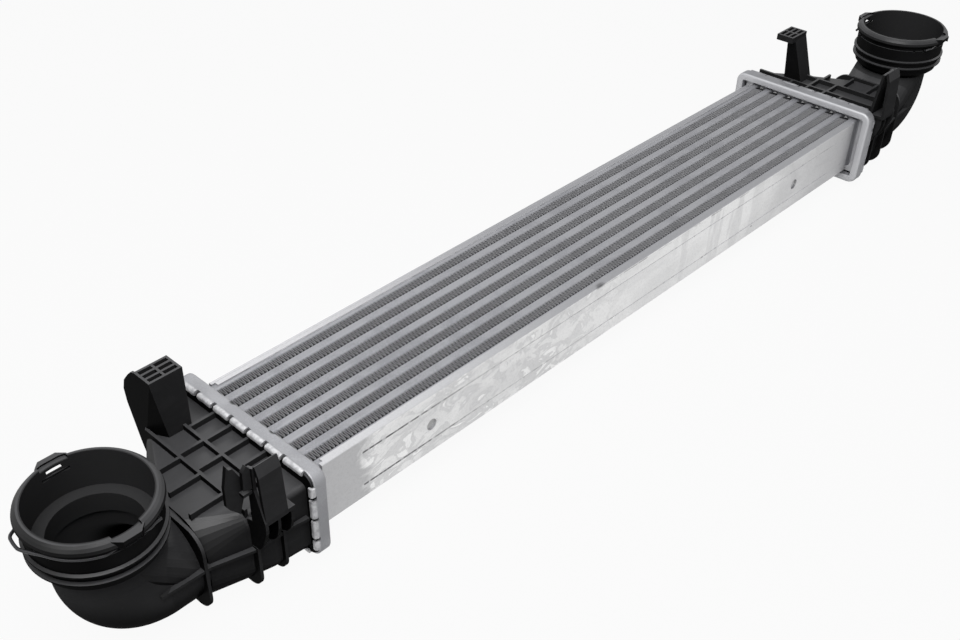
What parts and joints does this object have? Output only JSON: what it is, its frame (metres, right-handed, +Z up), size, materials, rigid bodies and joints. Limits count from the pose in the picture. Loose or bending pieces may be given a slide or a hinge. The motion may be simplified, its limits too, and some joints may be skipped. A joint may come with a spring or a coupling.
{
  "type": "intercooler",
  "caption": "Air-to-air charge cooler: a finned core of flat tubes between crimped header plates, with a moulded end tank, elbow and clipped hose socket at each end.",
  "frame": {"origin": "middle of the bounding box's base, below the middle of the core; the two elbows' undersides touch the base plane", "axes": "+X along the core from the left tank to the right tank, +Y across the tubes away from the latches and socket side, +Z up out of the hose sockets' mouths"},
  "size_m": [1.0138, 0.1492, 0.1174],
  "materials": {
    "core_aluminium": "brazed sheet, light grey, with faint flux stains",
    "fin_aluminium": "thin brazed fin stock, matt grey",
    "tank_plastic": "moulded glass-filled nylon, black, satin",
    "seal_rubber": "moulded rubber, black, matt",
    "clip_steel": "spring steel wire, black coated"
  },
  "bodies": {
    "root": {"header_plate_left": "core_aluminium", "header_plate_right": "core_aluminium", "side_plate_front": "core_aluminium", "side_plate_back": "core_aluminium", "tube_1": "core_aluminium", "tube_2": "core_aluminium", "tube_3": "core_aluminium", "tube_4": "core_aluminium", "tube_5": "core_aluminium", "tube_6": "core_aluminium", "tube_7": "core_aluminium", "tube_8": "core_aluminium", "fin_row_1": "fin_aluminium", "fin_row_2": "fin_aluminium", "fin_row_3": "fin_aluminium", "fin_row_4": "fin_aluminium", "fin_row_5": "fin_aluminium", "fin_row_6": "fin_aluminium", "fin_row_7": "fin_aluminium", "tube_insert_1": "fin_aluminium", "tube_insert_2": "fin_aluminium", "tube_insert_3": "fin_aluminium", "tube_insert_4": "fin_aluminium", "tube_insert_5": "fin_aluminium", "tube_insert_6": "fin_aluminium", "tube_insert_7": "fin_aluminium", "tube_insert_8": "fin_aluminium", "tank_seal_left": "seal_rubber", "tank_seal_right": "seal_rubber", "tank_left": "tank_plastic", "tank_right": "tank_plastic", "spring_clip_left": "clip_steel", "spring_clip_right": "clip_steel"}
  },
  "joints": []
}
